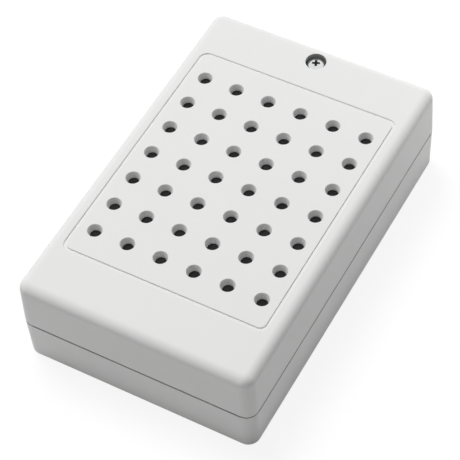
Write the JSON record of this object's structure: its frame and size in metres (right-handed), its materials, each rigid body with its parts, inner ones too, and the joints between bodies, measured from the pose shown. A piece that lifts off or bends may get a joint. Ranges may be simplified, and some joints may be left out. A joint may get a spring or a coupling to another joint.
{
  "type": "intercom extension sounder",
  "caption": "Surface wall box with a perforated cover that tips off its base, holding a small loudspeaker, an amplifier board and a screw terminal block.",
  "frame": {"origin": "centre of the flat back face that lies on the wall", "axes": "+Z out of the grille, +Y up on the wall towards the cover screw, +X to the right seen from the front"},
  "size_m": [0.07, 0.1106, 0.0295],
  "materials": {
    "case_plastic": "fine satin texture",
    "cloth": "woven acoustic cloth",
    "bright_screw": "bright zinc",
    "nylon": "natural nylon",
    "board": "green solder mask",
    "terminal_green": "moulded",
    "terminal_metal": "tinned",
    "zinc_screw": "zinc plated",
    "trimmer_blue": "moulded",
    "rotor_white": "moulded",
    "can_sleeve": "shrunk sleeve",
    "chip_black": "moulded epoxy",
    "resistor_lacquer": "lacquered",
    "disc_lacquer": "dipped",
    "header_white": "moulded nylon",
    "basket_steel": "plated pressing",
    "foam": "closed cell foam",
    "rubber": "moulded rubber",
    "paper": "pressed paper",
    "coil_copper": "enamelled copper",
    "spider_cloth": "resin cloth",
    "ferrite": "sintered",
    "phenolic": "laminate",
    "lead_red": "insulated wire",
    "lead_black": "insulated wire"
  },
  "bodies": {
    "base": {"base_shell": "case_plastic", "circuit_board": "board", "board_screws": "zinc_screw", "terminal_block": "terminal_green", "terminal_contacts": "terminal_metal", "volume_trimmer": "trimmer_blue", "filter_capacitor": "can_sleeve", "coupling_capacitor": "can_sleeve", "amplifier_chip": "chip_black", "resistors": "resistor_lacquer", "disc_capacitors": "disc_lacquer", "lead_header": "header_white", "lead_plug": "header_white", "speaker_lead_red": "lead_red", "speaker_lead_black": "lead_black", "speaker_basket": "basket_steel", "speaker_gasket": "foam", "cone_surround": "rubber", "spider": "spider_cloth", "top_plate": "zinc_screw", "magnet": "ferrite", "pole_plate": "zinc_screw", "tag_board": "phenolic", "solder_tags": "terminal_metal", "speaker_screws": "zinc_screw"},
    "cover": {"front_cover": "case_plastic", "grille_cloth": "cloth"},
    "cover_screw_washer": {"screw_washer": "nylon"},
    "cover_screw_shank": {"cover_screw": "bright_screw"},
    "cone": {"speaker_cone": "paper", "dust_cap": "paper", "voice_coil": "coil_copper"},
    "rotor": {"trimmer_rotor": "rotor_white"},
    "clamp_1": {"terminal_clamp_1": "terminal_metal"},
    "clamp_screw_1": {"terminal_screw_1": "zinc_screw"},
    "clamp_2": {"terminal_clamp_2": "terminal_metal"},
    "clamp_screw_2": {"terminal_screw_2": "zinc_screw"},
    "clamp_3": {"terminal_clamp_3": "terminal_metal"},
    "clamp_screw_3": {"terminal_screw_3": "zinc_screw"}
  },
  "joints": [
    {"name": "cover_hinge", "type": "hinge", "parent": "base", "child": "cover", "pos_m": [0, -0.05525, 0.0138], "axis": [1, 0, 0], "range_deg": [0, 75]},
    {"name": "screw_rise", "type": "slide", "parent": "cover", "child": "cover_screw_washer", "axis": [0, 0, 1], "range_m": [0, 0.006]},
    {"name": "screw_turn", "type": "hinge", "parent": "cover_screw_washer", "child": "cover_screw_shank", "pos_m": [0, 0.0492, 0.0269], "axis": [0, 0, 1], "range_deg": [0, 1661.6]},
    {"name": "cone_stroke", "type": "slide", "parent": "base", "child": "cone", "axis": [0, 0, 1], "range_m": [-0.0008, 0.0008], "stiffness_N_per_m": 2000, "deforming": ["cone_surround", "spider"]},
    {"name": "volume_turn", "type": "hinge", "parent": "base", "child": "rotor", "pos_m": [0.0006, -0.0416, 0.0084], "axis": [0, 0, 1], "range_deg": [-135, 135]},
    {"name": "clamp_screw_turn_1", "type": "hinge", "parent": "base", "child": "clamp_screw_1", "pos_m": [0.0102, -0.04775, 0.0147], "axis": [0, 0, 1], "range_deg": [-1296.1, 0]},
    {"name": "clamp_rise_1", "type": "slide", "parent": "base", "child": "clamp_1", "axis": [0, 0, 1], "range_m": [0, 0.0018]},
    {"name": "clamp_screw_turn_2", "type": "hinge", "parent": "base", "child": "clamp_screw_2", "pos_m": [0.0102, -0.04275, 0.0147], "axis": [0, 0, 1], "range_deg": [-1296.1, 0]},
    {"name": "clamp_rise_2", "type": "slide", "parent": "base", "child": "clamp_2", "axis": [0, 0, 1], "range_m": [0, 0.0018]},
    {"name": "clamp_screw_turn_3", "type": "hinge", "parent": "base", "child": "clamp_screw_3", "pos_m": [0.0102, -0.03775, 0.0147], "axis": [0, 0, 1], "range_deg": [-1296.1, 0]},
    {"name": "clamp_rise_3", "type": "slide", "parent": "base", "child": "clamp_3", "axis": [0, 0, 1], "range_m": [0, 0.0018]}
  ],
  "couplings": [
    {"joint": "screw_turn", "follows": "screw_rise", "rad_per_m": 4833.2},
    {"joint": "clamp_screw_turn_1", "follows": "clamp_rise_1", "rad_per_m": -12566},
    {"joint": "clamp_screw_turn_2", "follows": "clamp_rise_2", "rad_per_m": -12566},
    {"joint": "clamp_screw_turn_3", "follows": "clamp_rise_3", "rad_per_m": -12566}
  ]
}
